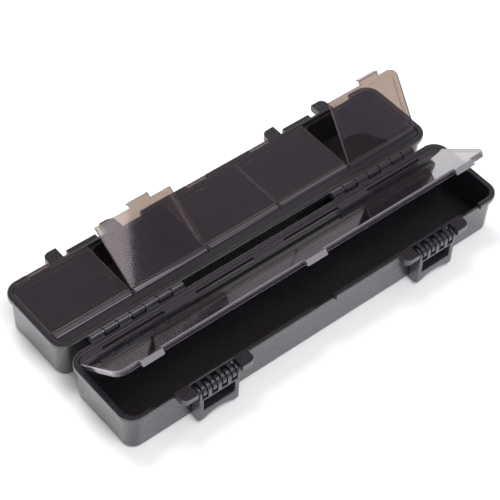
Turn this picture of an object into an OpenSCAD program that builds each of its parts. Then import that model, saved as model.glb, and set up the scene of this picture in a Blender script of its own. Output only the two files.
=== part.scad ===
// Rig box in two hinged halves: a tool tray with one long cover, a bits tray
// with five compartment lids, and two latches on the front.
// Millimetres. +X runs along the case, +Y from the tool tray to the bits tray,
// +Z is up. The origin is the middle of the tool tray's underside.
// The case lies open. Compartment lids 2 and 5 and the tool cover stand open.
// Each half is drawn in its own frame: x along the case, v outwards from the
// case hinge, z up. near() and far() then put it in its place.

/* [Case] */
// Length over the rims
case_l = 280; // [250:5:320]
// Width of each half over its rim
half_w = 57.5; // [52:0.5:75]
// Height of each half
half_h = 29; // [26:0.5:38]
// Corner radius of the rim, seen from above
corner_r = 10; // [7:0.5:13]
// Wall thickness
wall_t = 1.5; // [1.2:0.1:2.5]
// Floor thickness
floor_t = 2; // [1.4:0.1:3]
// How far the rim bead stands out from the end walls
bead_end = 2.2; // [1.4:0.1:3]
// How far the rim bead stands out from the long walls
bead_side = 1.7; // [1.3:0.1:2.4]
// Height of the rim bead
bead_h = 3.5; // [2.5:0.1:5]
// Radius of the outside edge under each half
foot_r = 2; // [1:0.25:3]
// Gap between the two rims when the case is shut
case_gap = 0.3; // [0.2:0.05:0.6]

/* [Case hinge] */
// From the pin axis to the rim of each half
hinge_off = 2.75; // [2.4:0.05:3.5]
// Knuckles in one group, an odd number
knuckle_n = 7; // [3:2:9]
// Length of case taken up by one knuckle
knuckle_pitch = 9.4; // [7:0.2:10.4]
// Gap between neighbouring knuckles
knuckle_gap = 0.9; // [0.3:0.1:1.2]
// From the end of the case to the middle of a knuckle group
hinge_inset = 51; // [46:1:70]
// Diameter of the case pins
case_pin_d = 2.4; // [1.6:0.1:2.6]
// How far the ends of a case pin lie inside the end knuckles
case_pin_in = 0.5; // [0:0.1:2]

/* [Compartment lids] */
// Plate thickness of the compartment lids
lid_t = 1.8; // [1.4:0.1:2.4]
// Gap between neighbouring lids
lid_gap = 0.8; // [0.6:0.1:1.2]
// Gap between the end lids and the shell
lid_end_gap = 0.5; // [0.35:0.05:1.2]
// How far lids and cover lie below the rim
lid_drop = 0.3; // [0.2:0.05:0.6]
// Outside radius of the hinge barrels of lids and cover
barrel_r = 2.2; // [1.8:0.1:2.5]
// Diameter of the hinge rods of lids and cover
rod_d = 1.6; // [1.2:0.1:2]
// Plain strip between a barrel and the plate it carries
web_w = 0.95; // [0.6:0.05:2]
// Thickness of the ears between the lids
ear_t = 1.5; // [1:0.1:2]
// From a lid's edge to the rib under it
rib_in = 3; // [2.5:0.1:6]
// Width of the rib under a lid
rib_w = 0.8; // [0.6:0.1:1.6]
// Height of the rib under a lid
rib_h = 0.4; // [0.3:0.1:1.5]
// Corner radius of that rib
rib_r = 3; // [2:0.25:5]
// Angle at which lid 2 stands open
lid_2_angle = 31.5; // [0:0.5:90]
// Angle at which lid 5 stands open
lid_5_angle = 56.5; // [0:0.5:90]

/* [Divider tray] */
// Wall thickness of the divider tray
tray_wall = 1.5; // [1:0.1:2]
// Floor thickness of the divider tray
tray_floor = 1.2; // [0.8:0.1:2]
// Width of the flange that carries the lids' ears
flange_w = 4.55; // [4:0.05:6]
// Thickness of that flange
flange_t = 2.1; // [1.6:0.1:3]
// Corner radius of the pockets
pocket_r = 4; // [3:0.25:6]

/* [Tool cover] */
// Plate thickness of the tool cover
cover_t = 2; // [1.4:0.1:2.6]
// Height of the cover's turned-down edge under its plate
cover_lip_h = 1.5; // [0.8:0.1:2.5]
// Width of that edge
cover_lip_w = 1.6; // [1.2:0.1:2.5]
// Thickness of the rail along the back of the tool tray
rail_t = 1.85; // [1.5:0.05:3]
// Width of the rail's two end ears
ear_end_w = 16.8; // [12:0.2:24]
// Width of the rail's three middle ears
ear_mid_w = 23; // [16:0.5:30]
// Angle at which the cover stands open
cover_angle = 39; // [0:0.5:90]

/* [Clip tabs] */
// Width of a clip tab
tab_w = 14.5; // [10:0.5:18]
// Gap between a tab and the lug beside it
tab_lug_gap = 0.6; // [0.4:0.1:2]
// Thickness of the hook on a tab
hook_t = 1.15; // [0.8:0.05:1.8]
// Height of the hook, measured from the top of the lid
hook_h = 3.9; // [3:0.1:5]

/* [Latches] */
// From the end of the case to the middle of a latch
latch_inset = 58; // [52:1:66]
// Width of a latch
latch_w = 28; // [24:0.5:34]
// Outside radius of the comb rings
ring_r = 3.6; // [3:0.1:4]
// How far the top of the comb lies below the rim
comb_drop = 0.5; // [0.4:0.05:1]
// Rings in the comb of one latch, an odd number
ring_n = 9; // [5:2:9]
// Gap between neighbouring comb rings
ring_gap = 0.9; // [0.3:0.1:1.2]
// Diameter of the latch pins
latch_pin_d = 2; // [1.4:0.1:2.6]
// Gap between the floor and a hanging latch
latch_foot_gap = 2.6; // [1:0.1:5]
// Height of the bar above a latch's window
bar_h = 1.6; // [1.2:0.1:3]
// Height of the lip below a latch's window
lip_h = 7.8; // [5:0.1:9]
// Thickness of a latch behind its window
latch_back = 2; // [1.6:0.1:2.6]
// Depth of the arch in the end of a latch
arch_h = 2.9; // [0.6:0.1:3.6]
// Width of that arch
arch_w = 21; // [14:0.5:22]
// Width of the keepers on the bits half
keeper_w = 21; // [16:0.5:23]
// Gap at each side of a keeper in a latch's window
keeper_gap = 0.5; // [0.3:0.1:1]
// Width of the lugs beside the latches
lug_w = 9.5; // [6:0.5:10]
// Height of the lugs
lug_h = 4.5; // [4:0.5:14]
// How far the lugs stand out from the rim
lug_out = 6.25; // [4:0.25:8]
// Radius of the lugs' lower edge
lug_r = 1.5; // [1:0.25:4]
// Radius of a lug's corner away from the latch, seen from above
lug_corner = 4; // [1:0.5:5]
// Gap between a latch and the lug beside it
lug_gap = 1.5; // [1:0.1:2.5]

/* [Clearances] */
// Gap round parts that swing past each other
swing_gap = 0.35; // [0.3:0.05:0.5]
// Radial clearance of pins and rods in their bores
pin_fit = 0.03; // [0.02:0.01:0.08]
// Gap between an insert and the shell that it sits in
seat_gap = 0.3; // [0.1:0.05:0.4]

/* [Hidden] */
$fn = 48;
cut = 1;
lid_n = 5;
sides = [-1, 1];

// Rim, wall and cavity of one half, in its own frame
rim_x = case_l / 2;
rim_v0 = hinge_off;
rim_v1 = hinge_off + half_w;
wall_x = rim_x - bead_end;
wall_v0 = rim_v0 + bead_side;
wall_v1 = rim_v1 - bead_side;
wall_r = corner_r - bead_side;
cav_x = wall_x - wall_t;
cav_v0 = wall_v0 + wall_t;
cav_v1 = wall_v1 - wall_t;
cav_r = wall_r - wall_t;
ins_x = cav_x - seat_gap;
ins_v0 = cav_v0 + seat_gap;
ins_v1 = cav_v1 - seat_gap;
ins_r = cav_r - seat_gap;
bead_z = half_h - bead_h;

// Case hinge
hinge_y = half_w / 2 + hinge_off;
hinge_z = half_h + case_gap / 2;
hinge_x = rim_x - hinge_inset;
knuckle_r = hinge_off - swing_gap;
knuckle_l = knuckle_pitch - knuckle_gap;
case_pin_l = knuckle_n * knuckle_pitch - knuckle_gap - 2 * case_pin_in;

// Lids, cover and the rods that they turn on
lid_z1 = half_h - lid_drop;
rod_z = lid_z1 - barrel_r;
flange_v1 = ins_v0 + flange_w;
rail_v1 = ins_v0 + rail_t;
lid_axis_v = flange_v1 + swing_gap + barrel_r;
cover_axis_v = rail_v1 + swing_gap + barrel_r;
lid_v0 = lid_axis_v + barrel_r + web_w;
cover_v0 = cover_axis_v + barrel_r + web_w;
lid_v1 = cav_v1 - swing_gap;
lid_r = cav_r - swing_gap;
lid_x = cav_x - lid_end_gap;
lid_pitch = (2 * lid_x + lid_gap) / lid_n;
lid_z0 = lid_z1 - lid_t;
cover_z0 = lid_z1 - cover_t;
web_z1 = lid_z1 - lid_drop;
tray_z1 = lid_z0 - swing_gap;
barrel_in = ear_t / 2 + swing_gap;
lid_angle = [0, lid_2_angle, 0, 0, lid_5_angle];
slot_w = (2 * ins_x - 2 * ear_end_w - 3 * ear_mid_w) / 4;
slot_step = slot_w + ear_mid_w;
cover_rod_x = lid_x - wall_t;

// Latches, their combs, keepers and lugs
latch_x = rim_x - latch_inset;
latch_v = wall_v1 + swing_gap + ring_r;
latch_z = half_h - comb_drop - ring_r;
latch_l = latch_z - latch_foot_gap;
lug_in = latch_w / 2 + lug_gap;
lug_far = lug_in + lug_w;
lug_v1 = rim_v1 + lug_out;
ring_pitch = (2 * lug_in - swing_gap) / ring_n;
ring_l = ring_pitch - ring_gap;
latch_pin_l = ring_n * ring_pitch - swing_gap;
body_s = ring_r + swing_gap;
window_s0 = body_s + bar_h;
window_s1 = latch_l - lip_h;
window_w = keeper_w + 2 * keeper_gap;
window_n = latch_back - ring_r;
keeper_s0 = sqrt(window_s0 * window_s0 + ring_r * ring_r) + swing_gap;
keeper_s1 = window_s1 - swing_gap;
keeper_v1 = latch_v - window_n - 2 * swing_gap;
arch_r = arch_w * arch_w / (8 * arch_h) + arch_h / 2;

// Clip tabs
tab_out_x = latch_x + lug_far + tab_lug_gap + tab_w / 2;
tab_mid_x = latch_x - lug_far - tab_lug_gap - tab_w / 2;
lid_tab_x = [-tab_out_x, -tab_mid_x, 0, tab_mid_x, tab_out_x];
cover_tab_x = [-tab_out_x, 0, tab_out_x];
hook_v0 = wall_v1 + swing_gap;

shell_grey = [0.20, 0.19, 0.21];
tray_grey = [0.13, 0.13, 0.14];
smoke = [0.30, 0.27, 0.27];
steel = [0.72, 0.73, 0.75];

// Places of the two halves
module near() {
    translate([0, hinge_y, 0])
        mirror([0, 1, 0])
            children();
}

module far() {
    translate([0, hinge_y, 0])
        children();
}

// A box between two corners
module block(x0, x1, v0, v1, z0, z1) {
    translate([x0, v0, z0])
        cube([x1 - x0, v1 - v0, z1 - z0]);
}

// A cylinder along x from x0 to x1 at v, z
module rod(x0, x1, v, z, d) {
    translate([x0, v, z])
        rotate([0, 90, 0])
            cylinder(d = d, h = x1 - x0);
}

// A rectangle with round corners: half length x, from v0 to v1
module round_rect(x, v0, v1, r) {
    translate([-x + r, v0])
        square([2 * (x - r), v1 - v0]);
    translate([-x, v0 + r])
        square([2 * x, v1 - v0 - 2 * r]);
    for (side = sides)
        for (v = [v0 + r, v1 - r])
            translate([side * (x - r), v])
                circle(r);
}

module slab(x, v0, v1, r, z0, z1) {
    translate([0, 0, z0])
        linear_extrude(z1 - z0)
            round_rect(x, v0, v1, r);
}

// A quarter of a round edge, with the filled side towards +x and +y
module edge_quarter(r) {
    intersection() {
        square(r);
        translate([r, r])
            circle(r);
    }
}

// The lowest layer of a half: a slab with its outside edge rounded
module foot(x, v0, v1, r) {
    slab(x - foot_r, v0 + foot_r, v1 - foot_r, r - foot_r, 0, foot_r);
    for (side = sides) {
        translate([side * x, v1 - r, 0])
            mirror([side > 0 ? 1 : 0, 0, 0])
                rotate([90, 0, 0])
                    linear_extrude(v1 - v0 - 2 * r)
                        edge_quarter(foot_r);
        for (v = [v0 + r, v1 - r])
            translate([side * (x - r), v, 0])
                rotate_extrude()
                    translate([r, 0])
                        mirror([1, 0])
                            edge_quarter(foot_r);
    }
    for (v = [v0, v1])
        translate([-(x - r), v, 0])
            mirror([0, v == v1 ? 1 : 0, 0])
                rotate([90, 0, 90])
                    linear_extrude(2 * (x - r))
                        edge_quarter(foot_r);
}

// Rim bead: full rounds except where tabs hook over and latches swing
module bead(tab_x) {
    difference() {
        slab(rim_x, rim_v0, rim_v1, corner_r, bead_z, half_h);
        for (x = tab_x)
            block(x - tab_w / 2 - swing_gap, x + tab_w / 2 + swing_gap,
                wall_v1, rim_v1 + cut, bead_z - cut, half_h + cut);
        for (side = sides)
            block(side * latch_x - lug_in, side * latch_x + lug_in,
                wall_v1, rim_v1 + cut, bead_z - cut, half_h + cut);
    }
}

// A lug beside a latch, with a round lower edge. end = 1 rounds its +x corner, -1 its -x corner
module lug(x, end) {
    translate([x, 0, 0])
        mirror([end < 0 ? 1 : 0, 0, 0])
            intersection() {
                linear_extrude(half_h)
                    plate(-lug_w / 2, lug_w / 2, wall_v1 - wall_t / 2, lug_v1, 0, lug_corner);
                translate([-lug_w / 2, 0, 0])
                    rotate([90, 0, 90])
                        linear_extrude(lug_w)
                            lug_side();
            }
}

module lug_side() {
    translate([wall_v1 - wall_t / 2, half_h - lug_h])
        square([lug_v1 - lug_r - wall_v1 + wall_t / 2, lug_h]);
    translate([wall_v1, half_h - lug_h + lug_r])
        square([lug_v1 - wall_v1, lug_h - lug_r]);
    translate([lug_v1 - lug_r, half_h - lug_h + lug_r])
        circle(lug_r);
}

// Knuckles of one half: odd = 0 takes the first, third and so on
module knuckles(odd) {
    for (side = sides)
        for (i = [odd : 2 : knuckle_n - 1]) {
            x = side * hinge_x + (i - knuckle_n / 2) * knuckle_pitch + knuckle_gap / 2;
            rod(x, x + knuckle_l, 0, hinge_z, 2 * knuckle_r);
            block(x, x + knuckle_l, 0, wall_v0 + wall_t / 2, hinge_z - knuckle_r, half_h);
        }
}

module knuckle_bores() {
    for (side = sides)
        rod(side * hinge_x - case_pin_l / 2 - case_pin_in - cut,
            side * hinge_x + case_pin_l / 2 + case_pin_in + cut,
            0, hinge_z, case_pin_d + 2 * pin_fit);
}

// Walls, floor, bead, lugs and knuckles of one half
module half_body(tab_x, tab_z0, odd) {
    difference() {
        union() {
            foot(wall_x, wall_v0, wall_v1, wall_r);
            slab(wall_x, wall_v0, wall_v1, wall_r, foot_r, half_h);
            bead(tab_x);
            for (side = sides)
                for (end = sides)
                    lug(side * latch_x + end * (lug_in + lug_w / 2), end);
            knuckles(odd);
        }
        slab(cav_x, cav_v0, cav_v1, cav_r, floor_t, half_h + cut);
        for (x = tab_x)
            block(x - tab_w / 2 - swing_gap, x + tab_w / 2 + swing_gap,
                cav_v1 - cut, wall_v1 + cut, tab_z0 - swing_gap, half_h + cut);
        knuckle_bores();
    }
}

// Ribs of the tool tray that carry the latch pins
module latch_ribs(x) {
    difference() {
        for (i = [1 : 2 : ring_n - 2]) {
            x0 = x + (i - ring_n / 2) * ring_pitch + ring_gap / 2;
            rod(x0, x0 + ring_l, latch_v, latch_z, 2 * ring_r);
            block(x0, x0 + ring_l, wall_v1 - wall_t / 2, latch_v,
                latch_z - ring_r, latch_z + ring_r);
        }
        rod(x - latch_w, x + latch_w, latch_v, latch_z, latch_pin_d + 2 * pin_fit);
    }
}

// Tool tray half
module base_shell() {
    color(shell_grey)
        near() {
            half_body(cover_tab_x, cover_z0, 0);
            for (side = sides)
                latch_ribs(side * latch_x);
        }
}

// Ledge that a latch snaps over, placed by the latch's own window
module keeper(x) {
    block(x - keeper_w / 2, x + keeper_w / 2, wall_v1 - wall_t / 2, keeper_v1,
        2 * hinge_z - latch_z - keeper_s1, 2 * hinge_z - latch_z - keeper_s0);
}

// Bits half
module lid_shell() {
    color(shell_grey)
        far() {
            half_body(lid_tab_x, lid_z0, 1);
            for (side = sides)
                keeper(side * latch_x);
        }
}

function lid_edge(i) = -lid_x - lid_gap / 2 + i * lid_pitch;

// One pocket of the divider tray
module pocket(i) {
    x0 = i == 0 ? -ins_x + tray_wall : lid_edge(i) + ear_t / 2;
    x1 = i == lid_n - 1 ? ins_x - tray_wall : lid_edge(i + 1) - ear_t / 2;
    translate([(x0 + x1) / 2, 0, 0])
        slab((x1 - x0) / 2, flange_v1, ins_v1 - tray_wall, pocket_r,
            floor_t + tray_floor, half_h + cut);
}

// Room for the barrel of lid i in the walls round its pocket
module barrel_trough(i) {
    block(lid_edge(i) + ear_t / 2, lid_edge(i + 1) - ear_t / 2,
        flange_v1, lid_axis_v + barrel_r + swing_gap,
        rod_z - barrel_r - swing_gap, half_h + cut);
}

// The insert with five pockets, a flange and the ears for the lids' rod
module divider_tray() {
    color(tray_grey)
        far()
            difference() {
                union() {
                    slab(ins_x, ins_v0, ins_v1, ins_r, floor_t, tray_z1);
                    intersection() {
                        slab(ins_x, ins_v0, ins_v1, ins_r, floor_t, half_h);
                        union() {
                            block(-ins_x, ins_x, ins_v0, flange_v1, tray_z1 - flange_t, lid_z1);
                            for (i = [0 : lid_n])
                                tray_ear(lid_edge(i));
                        }
                    }
                }
                for (i = [0 : lid_n - 1]) {
                    pocket(i);
                    barrel_trough(i);
                }
                block(-ins_x + ins_r, ins_x - ins_r, ins_v0 + tray_wall, flange_v1 - tray_wall,
                    floor_t - cut, lid_z1 - flange_t);
                rod(-case_l, case_l, lid_axis_v, rod_z, rod_d + 2 * pin_fit);
            }
}

// An ear between two lids, standing on the wall between their pockets
module tray_ear(x) {
    rod(x - ear_t / 2, x + ear_t / 2, lid_axis_v, rod_z, 2 * barrel_r);
    block(x - ear_t / 2, x + ear_t / 2, flange_v1 - tray_wall, lid_axis_v,
        rod_z - barrel_r, lid_z1);
}

// A tab that reaches over the rim and hooks down outside it
module tab(x, z0) {
    block(x - tab_w / 2, x + tab_w / 2, lid_v1 - cut, hook_v0 + hook_t, z0, lid_z1);
    block(x - tab_w / 2, x + tab_w / 2, hook_v0, hook_v0 + hook_t, lid_z1 - hook_h, lid_z1);
}

// Outline of a plate from x0 to x1, its far corners with radius r0 and r1
module plate(x0, x1, v0, v1, r0, r1) {
    difference() {
        translate([x0, v0])
            square([x1 - x0, v1 - v0]);
        translate([x0 - cut, v1 - r0])
            square([r0 + cut, r0 + cut]);
        translate([x1 - r1, v1 - r1])
            square([r1 + cut, r1 + cut]);
    }
    if (r0 > 0)
        translate([x0 + r0, v1 - r0])
            circle(r0);
    if (r1 > 0)
        translate([x1 - r1, v1 - r1])
            circle(r1);
}

// Block under a lid of half length x, inset by in_by, that reaches deeper by more
module lid_rib(x, in_by, r, more) {
    slab(x - in_by, lid_v0 + in_by, lid_v1 - in_by, r, lid_z0 - rib_h - more, lid_z0);
}

// Compartment lid i, shut
module flat_lid(i) {
    x0 = lid_edge(i) + lid_gap / 2;
    x1 = lid_edge(i + 1) - lid_gap / 2;
    b0 = lid_edge(i) + barrel_in;
    b1 = lid_edge(i + 1) - barrel_in;
    r0 = i == 0 ? lid_r : 0;
    r1 = i == lid_n - 1 ? lid_r : 0;
    difference() {
        union() {
            translate([0, 0, lid_z0])
                linear_extrude(lid_t)
                    plate(x0, x1, lid_v0, lid_v1, r0, r1);
            translate([(x0 + x1) / 2, 0, 0])
                difference() {
                    lid_rib((x1 - x0) / 2, rib_in, rib_r, 0);
                    lid_rib((x1 - x0) / 2, rib_in + rib_w, rib_r - rib_w, cut);
                }
            rod(b0, b1, lid_axis_v, rod_z, 2 * barrel_r);
            block(b0, b1, lid_axis_v, lid_v0 + cut, lid_z0, web_z1);
            tab(lid_tab_x[i], lid_z0);
        }
        rod(x0 - cut, x1 + cut, lid_axis_v, rod_z, rod_d + 2 * pin_fit);
    }
}

// Compartment lid i, at its angle
module bit_lid(i) {
    color(smoke)
        far()
            translate([0, lid_axis_v, rod_z])
                rotate([lid_angle[i], 0, 0])
                    translate([0, -lid_axis_v, -rod_z])
                        flat_lid(i);
}

// Strip along the back of the tool tray, with five ears for the cover's rod
module cover_rail() {
    color(shell_grey)
        near()
            difference() {
                intersection() {
                    slab(ins_x, ins_v0, ins_v1, ins_r, floor_t, lid_z1);
                    union() {
                        block(-ins_x, ins_x, ins_v0, rail_v1, floor_t, lid_z1);
                        for (side = sides)
                            rail_ear(side * (ins_x - ear_end_w / 2), ear_end_w);
                        for (i = [-1 : 1])
                            rail_ear(i * slot_step, ear_mid_w);
                    }
                }
                rod(-case_l, case_l, cover_axis_v, rod_z, rod_d + 2 * pin_fit);
            }
}

module rail_ear(x, w) {
    rod(x - w / 2, x + w / 2, cover_axis_v, rod_z, 2 * barrel_r);
    block(x - w / 2, x + w / 2, rail_v1 - rail_t / 2, cover_axis_v, rod_z - barrel_r, lid_z1);
}

// The long cover, shut
module flat_cover() {
    difference() {
        union() {
            translate([0, 0, cover_z0])
                linear_extrude(cover_t)
                    plate(-lid_x, lid_x, cover_v0, lid_v1, lid_r, lid_r);
            translate([0, 0, cover_z0 - cover_lip_h])
                linear_extrude(cover_lip_h)
                    difference() {
                        plate(-lid_x, lid_x, cover_v0 + web_w, lid_v1, lid_r, lid_r);
                        plate(-lid_x + cover_lip_w, lid_x - cover_lip_w, cover_v0,
                            lid_v1 - cover_lip_w, lid_r - cover_lip_w, lid_r - cover_lip_w);
                    }
            for (i = [-1.5 : 1 : 1.5]) {
                x0 = i * slot_step - slot_w / 2 + swing_gap;
                x1 = i * slot_step + slot_w / 2 - swing_gap;
                rod(x0, x1, cover_axis_v, rod_z, 2 * barrel_r);
                block(x0, x1, cover_axis_v, cover_v0 + cut, cover_z0, web_z1);
            }
            for (x = cover_tab_x)
                tab(x, cover_z0);
        }
        rod(-lid_x - cut, lid_x + cut, cover_axis_v, rod_z, rod_d + 2 * pin_fit);
    }
}

module tool_cover() {
    color(smoke)
        near()
            translate([0, cover_axis_v, rod_z])
                rotate([cover_angle, 0, 0])
                    translate([0, -cover_axis_v, -rod_z])
                        flat_cover();
}

// A latch hanging from its pin: rings, bar, window and lip
module latch(x) {
    color(shell_grey)
        near()
            translate([x, latch_v, latch_z])
                difference() {
                    union() {
                        for (i = [0 : 2 : ring_n - 1]) {
                            x0 = (i - ring_n / 2) * ring_pitch + ring_gap / 2;
                            latch_ring(max(x0, -latch_w / 2), min(x0 + ring_l, latch_w / 2));
                        }
                        block(-latch_w / 2, latch_w / 2, -ring_r, ring_r, -latch_l, -body_s);
                    }
                    block(-window_w / 2, window_w / 2, window_n, ring_r + cut,
                        -window_s1, -window_s0);
                    translate([0, 0, -latch_l - arch_r + arch_h])
                        rotate([90, 0, 0])
                            cylinder(r = arch_r, h = 4 * ring_r, center = true, $fn = 160);
                    rod(-latch_w, latch_w, 0, 0, latch_pin_d + 2 * pin_fit);
                }
}

module latch_ring(x0, x1) {
    rod(x0, x1, 0, 0, 2 * ring_r);
    block(x0, x1, -ring_r, ring_r, -body_s - bar_h / 2, 0);
}

module latch_left() {
    latch(-latch_x);
}

module latch_right() {
    latch(latch_x);
}

module latch_pin(x) {
    color(steel)
        near()
            rod(x - latch_pin_l / 2, x + latch_pin_l / 2, latch_v, latch_z, latch_pin_d);
}

module latch_pin_left() {
    latch_pin(-latch_x);
}

module latch_pin_right() {
    latch_pin(latch_x);
}

module case_pin(x) {
    color(steel)
        near()
            rod(x - case_pin_l / 2, x + case_pin_l / 2, 0, hinge_z, case_pin_d);
}

module case_pin_left() {
    case_pin(-hinge_x);
}

module case_pin_right() {
    case_pin(hinge_x);
}

module cover_rod() {
    color(steel)
        near()
            rod(-cover_rod_x, cover_rod_x, cover_axis_v, rod_z, rod_d);
}

module bit_lid_rod() {
    color(steel)
        far()
            rod(-lid_x, lid_x, lid_axis_v, rod_z, rod_d);
}

module bit_lid_1() {
    bit_lid(0);
}

module bit_lid_2() {
    bit_lid(1);
}

module bit_lid_3() {
    bit_lid(2);
}

module bit_lid_4() {
    bit_lid(3);
}

module bit_lid_5() {
    bit_lid(4);
}

base_shell();
lid_shell();
divider_tray();
cover_rail();
tool_cover();
bit_lid_1();
bit_lid_2();
bit_lid_3();
bit_lid_4();
bit_lid_5();
latch_left();
latch_right();
latch_pin_left();
latch_pin_right();
case_pin_left();
case_pin_right();
cover_rod();
bit_lid_rod();
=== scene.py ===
# %% [markdown]
# # A hinged rig box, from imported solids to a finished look
# The box is two shallow charcoal trays on one hinge, with clear smoke lids over the
# compartments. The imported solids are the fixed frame: they hold the sizes and the
# joints. Each lesson below dresses one of them with a moulded skin, a clear plate or
# a steel pin, and lets it ride on the body that it belongs to.

# %% Load the frame
from math import cos, radians, sin

import bmesh
import bpy
from mathutils import Matrix, Vector


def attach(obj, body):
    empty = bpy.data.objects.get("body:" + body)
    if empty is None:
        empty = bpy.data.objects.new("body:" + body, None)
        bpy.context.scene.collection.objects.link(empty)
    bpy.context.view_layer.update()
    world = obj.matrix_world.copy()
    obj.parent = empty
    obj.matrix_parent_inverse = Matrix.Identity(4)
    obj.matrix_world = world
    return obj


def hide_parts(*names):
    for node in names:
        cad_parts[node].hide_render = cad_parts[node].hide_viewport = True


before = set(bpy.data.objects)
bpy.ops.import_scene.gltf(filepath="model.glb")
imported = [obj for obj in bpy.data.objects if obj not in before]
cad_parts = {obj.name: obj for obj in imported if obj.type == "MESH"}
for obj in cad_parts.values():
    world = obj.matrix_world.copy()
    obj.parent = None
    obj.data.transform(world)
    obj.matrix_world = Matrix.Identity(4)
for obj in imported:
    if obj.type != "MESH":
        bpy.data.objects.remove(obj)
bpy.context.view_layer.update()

MM = 0.001               # shapes are drawn in millimetres, and the scene is in metres


# %% [markdown]
# The box was photographed from above its left front corner with a long lens, so its
# long edges stay almost parallel. A camera could be aimed by eye with a target, but
# the three directions of the picture are known, so they are written down and turned
# into the camera's own axes. Every other view only moves this camera.

# %% Camera
picture_right = Vector((0.77093, -0.63567, 0.03990))
picture_down = Vector((-0.45780, -0.59659, -0.65917))
picture_ahead = Vector((0.44282, 0.48991, -0.75094))
eye = Vector((-462.36, -472.81, 797.24)) * MM

camera = bpy.data.objects.new("camera", bpy.data.cameras.new("camera"))
camera.data.sensor_width = 36.0
camera.data.lens = 127.19
camera.data.clip_start = 0.05
camera.data.clip_end = 20.0
axes = Matrix((picture_right, -picture_down, -picture_ahead)).transposed()
camera.matrix_world = Matrix.LocRotScale(eye, axes.to_quaternion(), None)
bpy.context.scene.collection.objects.link(camera)
bpy.context.scene.camera = camera
print("camera", round(eye.length, 3), "m from the tool tray")

# %% [markdown]
# Hinge pins are drawn steel wire: bright, with hair lines along their length. Such lines
# could be cut into the mesh, but they are far too fine for that, so they are noise in the
# material, packed thousands to the metre across the wire and few along it. They change
# the roughness more than the colour. Every finish in this file is a small tree of nodes
# like this one, so its helpers serve the others too.

# %% Drawn steel
def start_finish(name):
    """A new material with its nodes, its linking call and its main shader."""
    made = bpy.data.materials.new(name)
    made.use_nodes = True
    nodes = made.node_tree.nodes
    return made, nodes, made.node_tree.links.new, nodes["Principled BSDF"]


def add_noise(nodes, link, scale, detail, stretch=(1, 1, 1)):
    """A noise in object space. stretch above 1 packs the pattern closer along that axis."""
    place = nodes.new("ShaderNodeTexCoord")
    mapping = nodes.new("ShaderNodeMapping")
    mapping.inputs["Scale"].default_value = stretch
    noise = nodes.new("ShaderNodeTexNoise")
    noise.inputs["Scale"].default_value = scale
    noise.inputs["Detail"].default_value = detail
    link(place.outputs["Object"], mapping.inputs["Vector"])
    link(mapping.outputs["Vector"], noise.inputs["Vector"])
    return noise.outputs["Fac"]


def spread(nodes, link, value, low, high, to_low, to_high):
    """Maps a value from low..high to to_low..to_high, held at both ends."""
    node = nodes.new("ShaderNodeMapRange")
    limits = {"From Min": low, "From Max": high, "To Min": to_low, "To Max": to_high}
    for name, number in limits.items():
        node.inputs[name].default_value = number
    link(value, node.inputs["Value"])
    return node.outputs["Result"]


def blend_tones(nodes, link, amount, first, second):
    """Mixes two colours, or a colour socket and a colour, by a value."""
    node = nodes.new("ShaderNodeMix")
    node.data_type = "RGBA"
    link(amount, node.inputs[0])
    for socket, tone in ((node.inputs[6], first), (node.inputs[7], second)):
        if isinstance(tone, tuple):
            socket.default_value = (*tone, 1)
        else:
            link(tone, socket)
    return node.outputs[2]


def add_bump(nodes, link, height, strength, depth, shader):
    node = nodes.new("ShaderNodeBump")
    node.inputs["Strength"].default_value = strength
    node.inputs["Distance"].default_value = depth
    link(height, node.inputs["Height"])
    link(node.outputs["Normal"], shader.inputs["Normal"])


LINE_SCALE, LINE_STRETCH = 60, (0.5, 60, 60)      # 30 to the metre along x, 3600 across
LINE_BUMP, LINE_DEPTH = 0.15, 0.00005             # strength, and height in metres
STEEL_DARK, STEEL_BRIGHT = (0.50, 0.50, 0.52), (0.66, 0.66, 0.68)


def drawn_steel(name):
    made, nodes, link, shader = start_finish(name)
    shader.inputs["Metallic"].default_value = 1.0
    lines = add_noise(nodes, link, LINE_SCALE, 3, LINE_STRETCH)
    link(blend_tones(nodes, link, lines, STEEL_DARK, STEEL_BRIGHT), shader.inputs["Base Color"])
    link(spread(nodes, link, lines, 0.3, 0.7, 0.22, 0.42), shader.inputs["Roughness"])
    add_bump(nodes, link, lines, LINE_BUMP, LINE_DEPTH, shader)
    return made


steel = drawn_steel("drawn_pin_steel")
print("metal:", steel.name)

# %% [markdown]
# The two trays and the latches are moulded from one charcoal plastic, more satin than
# glossy, and handling has rubbed its edges paler. The skin's fine grain could be
# modelled, but at well under a millimetre it belongs in the material: noise on Object
# coordinates drives bump and roughness, a broad cloud of noise shifts the tone a little,
# and an attribute for wear and highlight says where the edges are. The paler tone there is
# partly that rubbing and partly a painted highlight along the rounds. The hinge parts are
# glossier, with a tone painted paler as a highlight, and the pocket insert is blacker, so
# one function makes all three.

# %% Moulded plastic
TONE_SHIFT, ROUGH_SHIFT = 0.05, 0.04       # how far tone and roughness wander
CLOUD_SCALE, PATCH_SCALE = 38, 260         # tone changes over 26 mm, pale patches of wear and painted highlight over 4 mm
MOST_WORN_AND_LIT = 0.75                           # share of the pale edge tone, partly wear and partly painted highlight, where a patch is strongest
GRAIN_BUMP, GRAIN_DEPTH = 0.15, 0.00001    # strength, and height in metres


def point_attribute(nodes, name):
    node = nodes.new("ShaderNodeAttribute")
    node.attribute_name = name
    return node.outputs["Fac"]


def multiply(nodes, link, first, second):
    node = nodes.new("ShaderNodeMath")
    node.operation = "MULTIPLY"
    link(first, node.inputs[0])
    link(second, node.inputs[1])
    return node.outputs[0]


def paler_and_deeper(tone):
    pale = tuple((1 + TONE_SHIFT) * c for c in tone)
    deep = tuple((1 - TONE_SHIFT) * c for c in tone)
    return pale, deep


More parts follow.
